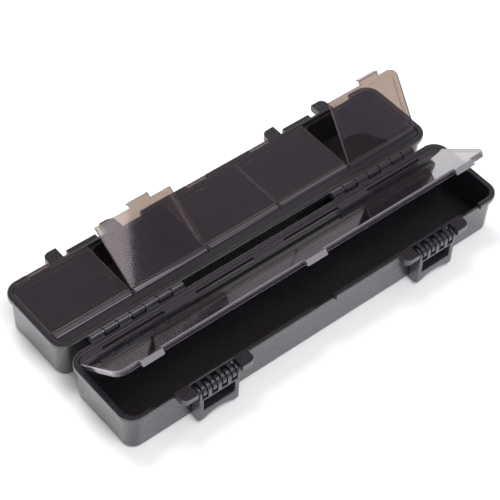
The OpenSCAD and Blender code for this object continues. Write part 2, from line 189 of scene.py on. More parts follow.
def moulded_plastic(name, tone, worn_and_lit, rough, grain):
    made, nodes, link, shader = start_finish(name)
    shader.inputs["IOR"].default_value = 1.54
    skin = add_noise(nodes, link, grain, 2)
    cloud = spread(nodes, link, add_noise(nodes, link, CLOUD_SCALE, 3), 0.3, 0.7, 0, 1)
    pale, deep = paler_and_deeper(tone)
    body_tone = blend_tones(nodes, link, cloud, deep, pale)
    patches = spread(nodes, link, add_noise(nodes, link, PATCH_SCALE, 3), 0.38, 0.66, 0, MOST_WORN_AND_LIT)
    # where edges are marked, the paler tone is partly rubbed plastic and partly painted highlight
    rubbed_and_lit = multiply(nodes, link, point_attribute(nodes, "wear_and_highlight"), patches)
    link(blend_tones(nodes, link, rubbed_and_lit, body_tone, worn_and_lit), shader.inputs["Base Color"])
    gloss = spread(nodes, link, skin, 0.25, 0.75, rough - ROUGH_SHIFT, rough + ROUGH_SHIFT)
    link(gloss, shader.inputs["Roughness"])
    add_bump(nodes, link, skin, GRAIN_BUMP, GRAIN_DEPTH, shader)
    return made


case_skin = moulded_plastic("charcoal_case_plastic", tone=(0.042, 0.0375, 0.042),
                            worn_and_lit=(0.12, 0.11, 0.12), rough=0.26, grain=1500)
# The hinge parts' tone is painted paler than the case's, as a highlight for the light that their barrels
# catch.
highlit_barrel_skin = moulded_plastic("charcoal_barrel_plastic_painted_highlight", tone=(0.065, 0.058, 0.065),
                              worn_and_lit=(0.14, 0.13, 0.14), rough=0.12, grain=1500)
tray_skin = moulded_plastic("black_tray_plastic", tone=(0.033, 0.0295, 0.033),
                            worn_and_lit=(0.09, 0.082, 0.09), rough=0.30, grain=2200)
print("plastics:", case_skin.name, highlit_barrel_skin.name, tray_skin.name)

# %% [markdown]
# The lids are clear smoke plastic: the white table behind them shows as a warm taupe,
# and they mirror the lamp above. An alpha would give the tint but no mirror, so the
# plate is a true transmissive shader with the tint in its base colour. A little sheen is
# the fine dust on it, and a very shallow ripple the unevenness of a moulded sheet. Two
# attributes change it from place to place: the one for wear and highlight frosts the edges
# and paints them pale, which is partly frosting and partly a painted highlight for the
# light that the edges catch and carry, and core darkens the hinge barrels, which are too
# thick to see through. The long cover is a darker smoke.

# %% Smoke plastic
FLOW_SCALE, FLOW_STRETCH = 30, (0.4, 1, 1)   # ripples of 33 mm, longer along the case
HAZE_SCALE = 420                           # gloss changes over 2 mm
FROST_HIGHLIGHT_CLEAR = 0.3                          # what a fully frosted, pale-painted edge still lets through
# The pale edge tone is partly frosting and partly painted highlight.
FROST_HIGHLIGHT_TONE, BARREL_TONE = (0.46, 0.44, 0.46), (0.045, 0.040, 0.044)


def smoke_sheet(name, tint, dust):
    made, nodes, link, shader = start_finish(name)
    shader.inputs["IOR"].default_value = 1.59
    shader.inputs["Specular Tint"].default_value = (1.0, 0.92, 1.0, 1.0)
    shader.inputs["Sheen Weight"].default_value = dust
    shader.inputs["Sheen Roughness"].default_value = 0.5
    shader.inputs["Sheen Tint"].default_value = (0.95, 0.88, 1.0, 1.0)
    frost_and_highlight = point_attribute(nodes, "wear_and_highlight")
    core = point_attribute(nodes, "core")
    past_frost_highlight = spread(nodes, link, frost_and_highlight, 0, 1, 1, FROST_HIGHLIGHT_CLEAR)
    past_core = spread(nodes, link, core, 0, 1, 1, 0)
    link(multiply(nodes, link, past_frost_highlight, past_core), shader.inputs["Transmission Weight"])
    flow = add_noise(nodes, link, FLOW_SCALE, 2, FLOW_STRETCH)
    body_tone = blend_tones(nodes, link, flow, *paler_and_deeper(tint))
    edge_tone = blend_tones(nodes, link, frost_and_highlight, body_tone, FROST_HIGHLIGHT_TONE)
    link(blend_tones(nodes, link, core, edge_tone, BARREL_TONE), shader.inputs["Base Color"])
    haze = add_noise(nodes, link, HAZE_SCALE, 2)
    link(spread(nodes, link, haze, 0.3, 0.7, 0.03, 0.05), shader.inputs["Roughness"])
    add_bump(nodes, link, flow, 0.02, 0.0002, shader)
    return made


lid_smoke = smoke_sheet("smoke_lid_plastic", tint=(0.355, 0.276, 0.215), dust=0.6)
cover_smoke = smoke_sheet("smoke_cover_plastic", tint=(0.20, 0.18, 0.175), dust=0.04)
print("clear sheets:", lid_smoke.name, cover_smoke.name)

# %% [markdown]
# Both trays are drawn in the same simple frame, in millimetres: x along the case, v
# outwards from the hinge line, z up. Each tray could be drawn where it lies, but one
# matrix lays that frame on the bits half and its mirror image lays it on the tool half,
# so every shape is worked out once. The mirror turns faces inside out, so they are
# turned back there.

# %% From a half's own frame to the scene
HINGE_Y, HINGE_Z = 31.5, 29.15


def half_frame(way):
    """way is 1 for the bits half, whose v runs along +Y, and -1 for the tool half."""
    return Matrix(((MM, 0, 0, 0), (0, way * MM, 0, HINGE_Y * MM), (0, 0, MM, 0), (0, 0, 0, 1)))


def place(shape, matrix, name):
    """Lays a shape into the scene and returns its mesh."""
    shape.transform(matrix)
    if matrix.determinant() < 0:
        bmesh.ops.reverse_faces(shape, faces=shape.faces[:])
    mesh = bpy.data.meshes.new(name)
    shape.to_mesh(mesh)
    shape.free()
    return mesh


bits_half, tool_half = half_frame(1), half_frame(-1)
print("hinge line at Y", HINGE_Y, "mm and Z", HINGE_Z, "mm")

# %% [markdown]
# A moulding has flat faces with smooth rounds between them, so neither flat nor smooth
# shading suits it alone. Here all faces are shaded smooth, edges past an angle stay
# sharp, and weighted normals let the large flat faces lead. The finished piece is a plain
# mesh at the origin. Opaque pieces are also listed, for the lamps.

# %% Finish a piece
SHARP_ANGLE = 38
opaque = bpy.data.collections.new("opaque_pieces")


def plain_mesh(maker, name):
    """Turns a holder object with modifiers into a plain mesh and takes the holder away."""
    bpy.context.scene.collection.objects.link(maker)
    graph = bpy.context.evaluated_depsgraph_get()
    made = bpy.data.meshes.new_from_object(maker.evaluated_get(graph), preserve_all_data_layers=True,
                                           depsgraph=graph)
    made.name = name
    bpy.data.objects.remove(maker)
    return made


def settle(mesh, name):
    """Smooth shading that breaks at sharp edges, with normals that follow the large faces."""
    mesh.shade_smooth()
    mesh.set_sharp_from_angle(angle=radians(SHARP_ANGLE))
    holder = bpy.data.objects.new(name, mesh)
    holder.modifiers.new("flat stays flat", "WEIGHTED_NORMAL").keep_sharp = True
    return plain_mesh(holder, name)


def fit(mesh, name, finish, body, slot, *nodes):
    """Makes the finished piece, lets it ride on its body and stand for its solids."""
    mesh = settle(mesh, name)
    mesh.materials.clear()
    mesh.materials.append(finish)
    piece = bpy.data.objects.new(name, mesh)
    bpy.context.scene.collection.objects.link(piece)
    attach(piece, body)
    if nodes:
        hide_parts(*nodes)
    if slot != "smoke_plastic":
        opaque.objects.link(piece)
    print(f"{name}: {len(mesh.polygons)} faces on {body}")


def dress(shape, matrix, name, *details):
    """Lays a shape into the scene and fits it as a finished piece."""
    fit(place(shape, matrix, name), name, *details)


# %% [markdown]
# Each tray is a thin shell: a floor with a rounded foot, walls that lean out a little
# so the part leaves its mould, and a bead round the rim. It could be a box with a
# Solidify modifier, but the bead stops where clip tabs hook over and where latches
# swing. So the shell is a loft, which starts with one section through the wall. With or
# without a bead it has the same number of rows, so that the two can be joined.

# %% A section through the wall
HALF_H = 29                                # height of one half
BEAD_Z = 25.5                              # underside of the bead
WALL, FLOOR, FOOT = 1.5, 2, 2              # thickness of wall and floor, radius of the foot
DRAFT = 0.8                                # how far the wall leans out from foot to bead


def wall_section(bead, top, fillet):
    """Rows from under the foot, up the outside, over the rim and down to the floor.
    A row is how far it lies in from a face, whether that is the wall's or the rim's,
    its height and its share of the paler edge tone, partly wear and partly painted highlight."""
    rows = [(DRAFT + FOOT, "wall", 0, 0)]
    for turn in (22.5, 45, 67.5, 90):
        inset, z = FOOT * (1 - sin(radians(turn))), FOOT * (1 - cos(radians(turn)))
        rows.append((DRAFT + inset, "wall", z, 0.25))
    rows.append((0, "wall", BEAD_Z - 0.35, 0))
    if bead:
        rows += [(-0.1, "wall", BEAD_Z - 0.1, 0), (0.5, "rim", BEAD_Z, 0),
                 (0.14, "rim", BEAD_Z + 0.14, 1), (0, "rim", BEAD_Z + 0.5, 0),
                 (0, "rim", top - 0.7, 0), (0.2, "rim", top - 0.2, 1), (0.7, "rim", top, 0)]
    else:
        rows += [(0, "wall", BEAD_Z - 0.1, 0), (0, "wall", BEAD_Z, 0),
                 (0, "wall", BEAD_Z + 0.1, 0), (0, "wall", BEAD_Z + 0.2, 0),
                 (0, "wall", top - 0.4, 0), (0.12, "wall", top - 0.12, 1), (0.4, "wall", top, 0)]
    return rows + [(WALL - 0.6, "wall", top, 0), (WALL - 0.18, "wall", top - 0.18, 1),
                   (WALL, "wall", top - 0.6, 0), (WALL, "wall", FLOOR + fillet, 0),
                   (WALL + 0.3 * fillet, "wall", FLOOR + 0.3 * fillet, 0),
                   (WALL + fillet, "wall", FLOOR, 0)]


TOOL_FILLET, BITS_FILLET = 1.2, 0.1        # radius where the wall meets the floor inside
print("rows in the wall's section:", len(wall_section(True, HALF_H, TOOL_FILLET)))

# %% [markdown]
# The section is carried round the tray's outline from station to station. Equal steps
# would be simplest, but the gaps in the bead need their own places. So each corner has
# ten stations, each end two and the back three, and along the front there is a pair at
# each end of a gap, a hair apart: one with the bead and one without. Each station also
# says how high its rim is, because the rim is lower under the hook of a clip tab.

# %% The way round a tray
TAB_GAP, LATCH_GAP, STEP = 7.6, 15.5, 0.06   # half of a gap in the bead, half of a pair's distance
LATCH_X, TAB_OUT_X, TAB_MID_X = 82, 114.85, 49.15
TOOL_TAB_TOP, BITS_TAB_TOP = 26.35, 26.55    # the rim's height under a hook


def around(tabs, tab_top):
    """Stations round the outline: (kind, where, has a bead, height of the rim)."""
    def corner(sx, sv, start):
        return [("corner", (sx, sv, start + 10 * i), True, HALF_H) for i in range(10)]

    def end(sx, way):
        return [("end", (sx, 0.5 + way * t), True, HALF_H) for t in (-0.25, 0.25)]

    gaps = [(x - TAB_GAP, x + TAB_GAP, tab_top) for x in tabs]
    gaps += [(x - LATCH_GAP, x + LATCH_GAP, HALF_H) for x in (-LATCH_X, LATCH_X)]
    front = []
    for low, high, top in sorted(gaps):
        front += [(low - STEP, True, HALF_H), (low + STEP, False, top),
                  (high - STEP, False, top), (high + STEP, True, HALF_H)]
    front = [("front", (x,), bead, top) for x, bead, top in reversed(front)]
    back = [("back", (x,), True, HALF_H) for x in (-60, 0, 60)]
    return (corner(1, -1, -90) + end(1, 1) + corner(1, 1, 0) + front
            + corner(-1, 1, 90) + end(-1, -1) + corner(-1, -1, 180) + back)


tool_way = around((-TAB_OUT_X, 0, TAB_OUT_X), TOOL_TAB_TOP)
bits_way = around((-TAB_OUT_X, -TAB_MID_X, 0, TAB_MID_X, TAB_OUT_X), BITS_TAB_TOP)
print("stations round the tool tray:", len(tool_way), "and round the bits tray:", len(bits_way))

# %% [markdown]
# Now the loft itself: every row of the section becomes a point at every station, and
# faces join each station to the next. A bevelled box would be quicker, but its corners
# would keep one radius. Here a corner's radius shrinks as a row lies further in, so the
# wall stays equally thick all the way round.

# %% Loft the two trays
RIM_X, RIM_V0, RIM_V1 = 140, 2.75, 60.25   # half the rim's length, and where it starts and ends
CORNER = 10                                # radius of the rim's corners
BEAD_END, BEAD_SIDE = 2.2, 1.7             # how far the bead stands out at ends and sides


def on_outline(kind, where, in_x, in_v):
    """The x and v of a station's point that lies in_x and in_v inside the rim."""
    radius = CORNER - (in_x + in_v) / 2
    mid_x = RIM_X - in_x - radius
    low_v, high_v = RIM_V0 + in_v + radius, RIM_V1 - in_v - radius
    if kind == "corner":
        sx, sv, turn = where
        mid_v = high_v if sv > 0 else low_v
        return sx * mid_x + radius * cos(radians(turn)), mid_v + radius * sin(radians(turn))
    if kind == "end":
        return where[0] * (RIM_X - in_x), low_v + where[1] * (high_v - low_v)
    return where[0], RIM_V1 - in_v if kind == "front" else RIM_V0 + in_v


def tray_shell(way_round, fillet):
    shape = bmesh.new()
    wear_and_highlight = shape.verts.layers.float.new("wear_and_highlight")
    rings = []
    for kind, where, bead, top in way_round:
        ring = []
        for inset, side, z, worn_and_lit in wall_section(bead, top, fillet):
            deep = side == "wall"
            x, v = on_outline(kind, where, inset + deep * BEAD_END, inset + deep * BEAD_SIDE)
            ring.append(shape.verts.new((x, v, z)))
            ring[-1][wear_and_highlight] = worn_and_lit
        rings.append(ring)
    for here, there in zip(rings, rings[1:] + rings[:1]):
        for j in range(len(here) - 1):
            shape.faces.new((here[j], there[j], there[j + 1], here[j + 1]))
    shape.faces.new([ring[0] for ring in reversed(rings)])
    shape.faces.new([ring[-1] for ring in rings])
    bmesh.ops.remove_doubles(shape, verts=shape.verts, dist=0.001)
    bmesh.ops.recalc_face_normals(shape, faces=shape.faces)
    return shape


tool_shell = tray_shell(tool_way, TOOL_FILLET)
dress(tool_shell, tool_half, "tool_tray", case_skin, "base", "case_plastic", "base_shell")
bits_shell = tray_shell(bits_way, BITS_FILLET)
dress(bits_shell, bits_half, "bits_tray", case_skin, "lid", "case_plastic", "lid_shell")

# %% [markdown]
# Knuckles, comb ribs, lugs and keepers all repeat one shape along the case. An Array
# modifier could do one row, but most of these come as rows of rows: so many knuckles in
# a group, and a group at each end. A small Geometry Nodes tree lays one line of points
# on another, puts the shape on every point, makes the copies real and sets the finish.

# %% A tree for rows of one shape
rows_tree = bpy.data.node_groups.new("rows_of_one_shape", "GeometryNodeTree")
rows_tree.interface.new_socket(name="Shape", in_out="INPUT", socket_type="NodeSocketGeometry")
rows_sizes = {"Count": "Int", "First": "Vector", "Step": "Vector",
              "Groups": "Int", "Group step": "Vector", "Finish": "Material"}
rows_input = {}
for name, kind in rows_sizes.items():
    socket = rows_tree.interface.new_socket(name=name, in_out="INPUT", socket_type=f"NodeSocket{kind}")
    rows_input[name] = socket.identifier
rows_tree.interface.new_socket(name="Row", in_out="OUTPUT", socket_type="NodeSocketGeometry")


def grow_rows_tree(nodes, link):
    given, result = nodes.new("NodeGroupInput"), nodes.new("NodeGroupOutput")
    groups, line = nodes.new("GeometryNodeMeshLine"), nodes.new("GeometryNodeMeshLine")
    lay, put = nodes.new("GeometryNodeInstanceOnPoints"), nodes.new("GeometryNodeInstanceOnPoints")
    points, real = nodes.new("GeometryNodeRealizeInstances"), nodes.new("GeometryNodeRealizeInstances")
    paint = nodes.new("GeometryNodeSetMaterial")
    for node, count, step in ((groups, "Groups", "Group step"), (line, "Count", "Step")):
        node.mode = "OFFSET"
        link(given.outputs[count], node.inputs["Count"])
        link(given.outputs[step], node.inputs["Offset"])
    link(given.outputs["First"], groups.inputs["Start Location"])
    link(groups.outputs["Mesh"], lay.inputs["Points"])
    link(line.outputs["Mesh"], lay.inputs["Instance"])
    link(lay.outputs["Instances"], points.inputs["Geometry"])
    link(points.outputs["Geometry"], put.inputs["Points"])
    link(given.outputs["Shape"], put.inputs["Instance"])
    link(put.outputs["Instances"], real.inputs["Geometry"])
    link(real.outputs["Geometry"], paint.inputs["Geometry"])
    link(given.outputs["Finish"], paint.inputs["Material"])
    link(paint.outputs["Geometry"], result.inputs["Row"])


def repeat(mesh, name, finish, count, first_x, step_x, groups=1, group_step_x=0.0):
    """Repeats a shape that was drawn at x = 0. All distances along x are in millimetres."""
    holder = bpy.data.objects.new(name, mesh)
    tree = holder.modifiers.new("rows", "NODES")
    tree.node_group = rows_tree
    sizes = {"Count": count, "First": (first_x * MM, 0.0, 0.0), "Step": (step_x * MM, 0.0, 0.0),
             "Groups": groups, "Group step": (group_step_x * MM, 0.0, 0.0), "Finish": finish}
    for size, value in sizes.items():
        tree[rows_input[size]] = value
    made = plain_mesh(holder, name)
    print(f"{name}: {count * groups} copies")
    return made


grow_rows_tree(rows_tree.nodes, rows_tree.links.new)
print("tree with", len(rows_tree.nodes), "nodes")

# %% [markdown]
# The case hinge has seven knuckles at each end, four on the tool tray and three
# between them on the bits tray. A knuckle is a short barrel with an arm that runs back
# into the rim. It could be a cylinder joined to a box, but a join leaves a mess of small
# faces. One outline of both, drawn out along x to a knuckle's length, has none.

# %% A knuckle's section
KNUCKLE_R, KNUCKLE_L = 2.4, 8.5
ARM_V = 5.2                                # where the arm ends, inside the rim
ARM_TURN = -363.6                          # where the barrel meets the top of the arm


def arc(v, z, radius, start, end, steps):
    turns = [radians(start + (end - start) * i / steps) for i in range(steps + 1)]
    return [(v + radius * cos(t), z + radius * sin(t)) for t in turns]


def bar(section, x0, x1):
    """A section of (v, z) points drawn out along x."""
    shape = bmesh.new()
    first = [shape.verts.new((x0, v, z)) for v, z in section]
    last = [shape.verts.new((x1, v, z)) for v, z in section]
    shape.faces.new(first)
    shape.faces.new(last[::-1])
    for i in range(len(section)):
        shape.faces.new((first[i - 1], last[i - 1], last[i], first[i]))
    bmesh.ops.recalc_face_normals(shape, faces=shape.faces)
    return shape


barrel = arc(0, HINGE_Z, KNUCKLE_R, -90, ARM_TURN, 26)
knuckle_section = [(ARM_V, HINGE_Z - KNUCKLE_R), *barrel, (ARM_V, HALF_H)]
knuckle = bar(knuckle_section, -KNUCKLE_L / 2, KNUCKLE_L / 2)
print("a knuckle's section has", len(knuckle_section), "points")

# %% [markdown]
# No moulded edge is truly sharp. A Bevel modifier could round them, but then nothing
# would say where the rounds are. The bevel in mesh code rounds every hard edge by a few
# tenths of a millimetre, which is what catches the light in the photograph, and returns
# the new faces. The points in the middle of a round touch only those faces, and they get
# the full mark for wear and highlight: their paler tone is partly where fingers and table
# rub the plastic and partly a painted highlight along the edge.

# %% Round the edges and note the wear and painted highlight
def soften(shape, width, segments=2, angle=35, spare=None):
    """Rounds each edge that turns by more than angle, apart from those that spare picks out."""
    hard = [edge for edge in shape.edges
            if edge.is_manifold and edge.calc_face_angle() > radians(angle) and not (spare and spare(edge))]
    made = bmesh.ops.bevel(shape, geom=hard, offset=width, offset_type="OFFSET", segments=segments,
                           profile=0.5, affect="EDGES", clamp_overlap=True)
    rounds = set(made["faces"])
    wear_and_highlight = shape.verts.layers.float.new("wear_and_highlight")
    for point in shape.verts:
        point[wear_and_highlight] = float(all(face in rounds for face in point.link_faces))
    return shape


KNUCKLE_ROUND = 0.25
soften(knuckle, KNUCKLE_ROUND)
print("a rounded knuckle has", len(knuckle.faces), "faces")

# %% [markdown]
# The knuckles of the two trays take turns along the pin, so on each tray they stand two
# places apart. They could be placed one by one, but the rows tree needs only where the
# first one is, how many there are, and how far the second group lies from the first.

# %% Hinge knuckles
KNUCKLE_PITCH, HINGE_X = 9.4, 89           # from one knuckle to the next, and to a group's middle
# The knuckles take the hinge finish, whose paler tone is a painted highlight.
hinge_rows = (("tool", tool_half, "base", -3, 4), ("bits", bits_half, "lid", -2, 3))
for half, matrix, body, first, count in hinge_rows:
    name = f"{half}_knuckles"
    row = repeat(place(knuckle.copy(), matrix, "knuckle"), name, highlit_barrel_skin, count,
                 first_x=first * KNUCKLE_PITCH - HINGE_X, step_x=2 * KNUCKLE_PITCH,
                 groups=2, group_step_x=2 * HINGE_X)
    fit(row, name, highlit_barrel_skin, body, "case_plastic")
knuckle.free()

# %% [markdown]
# A lug stands at each side of a latch, as high as the rim, to guard it. Its lower edge
# is rounded, and so is its corner away from the latch, seen from above. Two bevels
# would meet in a knot there, so the lug is a loft: the outline seen from above is
# repeated from the rim down, and the lowest outlines are held back along the arc.

# %% Lugs beside the latches
LUG_W, LUG_V0, LUG_V1, LUG_H = 9.5, 57.9, 66.5, 4.5
LUG_R, LUG_CORNER = 1.5, 4                 # radius of the lower edge, and of the corner
LUG_ROUND = 0.4                            # on its other edges
ABOVE_RIM = 0.03                           # so that a lug's top and the rim's never lie in one plane


def lug(way):
    """A lug at x = 0 whose rounded corner lies towards +x for way = 1 and -x for -1."""
    side = LUG_W / 2
    corner = arc(side - LUG_CORNER, LUG_V1 - LUG_CORNER, LUG_CORNER, 0, 90, 6)
    plan = [(-side, LUG_V0), (side, LUG_V0), *corner, (-side, LUG_V1)]
    levels = [(HALF_H - LUG_H + LUG_R * (1 - cos(radians(t))), LUG_V1 - LUG_R * (1 - sin(radians(t))))
              for t in range(0, 91, 15)]
    levels.append((HALF_H + ABOVE_RIM, LUG_V1))
    shape = bmesh.new()
    rings = [[shape.verts.new((way * x, min(v, reach), z)) for x, v in plan] for z, reach in levels]
    for here, there in zip(rings, rings[1:]):
        for k in range(len(plan)):
            shape.faces.new((here[k - 1], here[k], there[k], there[k - 1]))
    shape.faces.new(rings[0])
    shape.faces.new(rings[-1])
    bmesh.ops.recalc_face_normals(shape, faces=shape.faces)
    return soften(shape, LUG_ROUND, angle=50)


for half, matrix, body in (("tool", tool_half, "base"), ("bits", bits_half, "lid")):
    for way, side in ((-1, "left"), (1, "right")):
        name = f"{half}_lugs_{side}"
        middle = way * (LATCH_GAP + LUG_W / 2)
        row = repeat(place(lug(way), matrix, "lug"), name, case_skin, count=2,
                     first_x=middle - LATCH_X, step_x=2 * LATCH_X)
        fit(row, name, case_skin, body, "case_plastic")

# %% [markdown]
# At each latch, four ribs on the front of the tool tray carry a pin, and the latch's own
# rings lie between them like the teeth of two combs. Each rib is a half round on a short
# block. Like a knuckle it could be two solids joined, and like a knuckle it is one
# section, drawn out and rounded, in rows from the tree.

# %% Comb ribs
LATCH_V, LATCH_Z = 62.5, 24.9              # the latch pin's place
RING_R, RING_GAP = 3.6, 0.9                # a rib's or ring's radius, and the gap to the next
COMB_W, TEETH = 30.65, 9                   # four ribs and five rings share a comb's width
RING_PITCH = COMB_W / TEETH
RING_L, RING_ROUND = RING_PITCH - RING_GAP, 0.3
SUNK_V = 57.8                              # pieces on the wall start inside it
rib_round = arc(LATCH_V, LATCH_Z, RING_R, -90, 90, 20)
rib_section = [(SUNK_V, LATCH_Z - RING_R), *rib_round, (SUNK_V, LATCH_Z + RING_R)]
rib = place(soften(bar(rib_section, -RING_L / 2, RING_L / 2), RING_ROUND), tool_half, "rib")
ribs = repeat(rib, "comb_ribs", case_skin, count=4, first_x=-3 * RING_PITCH - LATCH_X,
              step_x=2 * RING_PITCH, groups=2, group_step_x=2 * LATCH_X)
fit(ribs, "comb_ribs", case_skin, "base", "case_plastic")

# %% [markdown]
# The bits tray has a ledge opposite each latch, and the latch's window snaps over it. A
# bevelled cube would do, but for the chamfer where the latch rides up. So it is a bar
# too, with the chamfer in its section.

# %% Keepers
KEEPER_W, KEEPER_V1, KEEPER_Z0, KEEPER_Z1 = 21, 63.4, 19.25, 26.38
KEEPER_CHAMFER, KEEPER_ROUND = 1.2, 0.4
keeper_section = [(SUNK_V, KEEPER_Z0), (KEEPER_V1 - KEEPER_CHAMFER, KEEPER_Z0),
                  (KEEPER_V1, KEEPER_Z0 + KEEPER_CHAMFER), (KEEPER_V1, KEEPER_Z1), (SUNK_V, KEEPER_Z1)]
ledge = soften(bar(keeper_section, -KEEPER_W / 2, KEEPER_W / 2), KEEPER_ROUND)
keepers = repeat(place(ledge, bits_half, "keeper"), "keepers", case_skin, count=2,
                 first_x=-LATCH_X, step_x=2 * LATCH_X)
fit(keepers, "keepers", case_skin, "lid", "case_plastic")

# %% [markdown]
# Inside the bits tray sits a black insert with five pockets, and along the back of the
# tool tray a charcoal rail with five ears. They could be built again, but both solids
# already have the right shape, so a merged copy of each is enough: its edges are rounded
# and it takes its plastic.

# %% Divider tray and cover rail
INSERT_ROUND, RAIL_ROUND = 0.4, 0.3
as_packed = Matrix.Scale(MM, 4)


def merged_solid(node):
    """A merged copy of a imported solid, in millimetres."""
    shape = bmesh.new()
    shape.from_mesh(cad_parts[node].data)
    shape.transform(Matrix.Scale(1 / MM, 4))
    bmesh.ops.remove_doubles(shape, verts=shape.verts, dist=0.001)
    bmesh.ops.dissolve_limit(shape, angle_limit=radians(0.8), verts=shape.verts, edges=shape.edges)
    return shape


insert = soften(merged_solid("divider_tray"), INSERT_ROUND)
dress(insert, as_packed, "pocket_insert", tray_skin, "lid", "tray_plastic", "divider_tray")
rail = soften(merged_solid("cover_rail"), RAIL_ROUND)
# The rail takes the hinge finish, with its tone painted paler as a highlight.
dress(rail, as_packed, "hinge_rail", highlit_barrel_skin, "base", "case_plastic", "cover_rail")

# %% [markdown]
# A clear plate must be one closed skin, because every face inside it would show. So the
# five compartment lids and the long cover are merged copies of their solids too, with
# barrel, plate, rib and clip tab in one piece. Their edges are rounded, apart from the
# ribs under the plates, where a round would bend the light into a bright line. The outer
# edges and the hooks are then marked as frosted and pale, which is partly a painted
# highlight, and the barrels as dark.

# %% Compartment lids and tool cover
ROD_Z, BARREL_R = 26.5, 2.2
LID_ROUND, COVER_ROUND = 0.22, 0.25
LID_FROST_HIGHLIGHT, COVER_FROST_HIGHLIGHT = 0.4, 1.0          # how frosted and pale, partly as painted highlight, their edges are
LID_AXIS_V, COVER_AXIS_V = 13.35, 10.65    # where the rods lie
LID_ANGLES, COVER_ANGLE = (0, 31.5, 0, 0, 56.5), 39   # how far each stands open
# A shut plate's rib lies between two distances from its rod, below a height and in from both ends.
RIB_FROM, RIB_TO, RIB_TOP, RIB_IN = 5, 41.5, 0.45, 2
# A plate's far edge, how far past it a hook starts, and the height of the middle of an edge.
PLATE_V1, HOOK_PAST, EDGE_UP = 56.7, 0.5, 1.0
SIDE_ON = 0.3                              # a side face's normal leans less than this out of the plate


def clear_plate(node, width, way, axis_v, angle, frost_and_highlight):
    """A softened copy of a lid. way is 1 on the bits half and -1 on the tool half."""
    shape, turn = merged_solid(node), radians(angle)
    ends = [point.co.x for point in shape.verts]
    low_x, high_x = min(ends) + RIB_IN, max(ends) - RIB_IN

    def shut(point):
        """How far a point lies out from the rod and above it once the lid is shut."""
        out, up = way * (point.co.y - HINGE_Y) - axis_v, point.co.z - ROD_Z
        return out * cos(turn) + up * sin(turn), up * cos(turn) - out * sin(turn)

    def on_rib(part):
        places = [(*shut(point), point.co.x) for point in part.verts]
        return all(RIB_FROM < out < RIB_TO and up < RIB_TOP and low_x < x < high_x for out, up, x in places)

    soften(shape, width, spare=on_rib)
    wear_and_highlight, core = shape.verts.layers.float["wear_and_highlight"], shape.verts.layers.float.new("core")
    across = Vector((0, -way * sin(turn), cos(turn)))
    middle = sum((point.co for point in shape.verts), Vector()) / len(shape.verts)
    for face in shape.faces:
        outwards = face.normal.dot(face.calc_center_median() - middle) > 0
        if outwards and abs(face.normal.dot(across)) < SIDE_ON and not on_rib(face):
            for point in face.verts:
                out, up = shut(point)
                if up > EDGE_UP or out > PLATE_V1 - axis_v + HOOK_PAST:
                    point[wear_and_highlight] = frost_and_highlight
    for point in shape.verts:
        out, up = shut(point)
        point[core] = float(out * out + up * up < (BARREL_R + 0.1) ** 2)
    return shape


for number, angle in enumerate(LID_ANGLES, 1):
    node = f"bit_lid_{number}"
    lid = clear_plate(node, LID_ROUND, 1, LID_AXIS_V, angle, LID_FROST_HIGHLIGHT)
    dress(lid, as_packed, f"clear_lid_{number}", lid_smoke, node, "smoke_plastic", node)
cover = clear_plate("tool_cover", COVER_ROUND, -1, COVER_AXIS_V, COVER_ANGLE, COVER_FROST_HIGHLIGHT)
dress(cover, as_packed, "clear_cover", cover_smoke, "tool_cover", "smoke_plastic", "tool_cover")

# %% [markdown]
# A latch is a flat frame with a window, and a thick lip with an arched end to lift it by.
# Four bars would make a frame, but their joints would show in the gloss. So an outline
# with a hole in it is filled and drawn out to the latch's thickness, and its front has
# no seams.

# %% A latch's frame
LATCH_W, LATCH_L, BODY_S = 28, 22.3, 3.95        # width, and the lip's end and frame from the pin
WINDOW_W, WINDOW_S0, WINDOW_S1 = 22, 5.55, 14.5  # width, and the window's two ends from the pin
ARCH_W, ARCH_H, ARCH_STEPS = 21, 2.9, 16
ARCH_R = ARCH_W ** 2 / (8 * ARCH_H) + ARCH_H / 2
FRAME_ROUND = 0.55


def latch_frame():
    """A frame that hangs from a pin at the origin."""
    side, low, high = LATCH_W / 2, -LATCH_L, -BODY_S
    arch = []
    for i in range(ARCH_STEPS + 1):
        x = ARCH_W / 2 - ARCH_W * i / ARCH_STEPS
        arch.append((x, low + ARCH_H - ARCH_R + (ARCH_R ** 2 - x ** 2) ** 0.5))
    outer = [(-side, high), (side, high), (side, low), *arch, (-side, low)]
    half = WINDOW_W / 2
    window = [(-half, -WINDOW_S0), (half, -WINDOW_S0), (half, -WINDOW_S1), (-half, -WINDOW_S1)]
    shape = bmesh.new()
    edges = []
    for outline in (outer, window):
        points = [shape.verts.new((x, -RING_R, z)) for x, z in outline]
        edges += [shape.edges.new((points[i - 1], points[i])) for i in range(len(points))]
    filled = bmesh.ops.triangle_fill(shape, edges=edges, use_beauty=True)
    faces = [part for part in filled["geom"] if isinstance(part, bmesh.types.BMFace)]
    drawn = bmesh.ops.extrude_face_region(shape, geom=faces)
    front = [part for part in drawn["geom"] if isinstance(part, bmesh.types.BMVert)]
    bmesh.ops.translate(shape, vec=(0, 2 * RING_R, 0), verts=front)
    bmesh.ops.recalc_face_normals(shape, faces=shape.faces)
    return soften(shape, FRAME_ROUND, segments=3)


print("the arch of a latch's lip has a radius of", round(ARCH_R, 1), "mm")

# %% [markdown]
# Each latch turns on five rings between the comb's ribs. Its window is closed at the back
# by a thinner plate, which is marked pale all over: partly the keeper's rubbing and partly
# painted light, as if light reached into the window. All could be cut from one block,
# but they are simple bars of their own. The three middle rings come from the rows tree,
# the outer two run down into the frame's sides, and everything is one piece in the end.

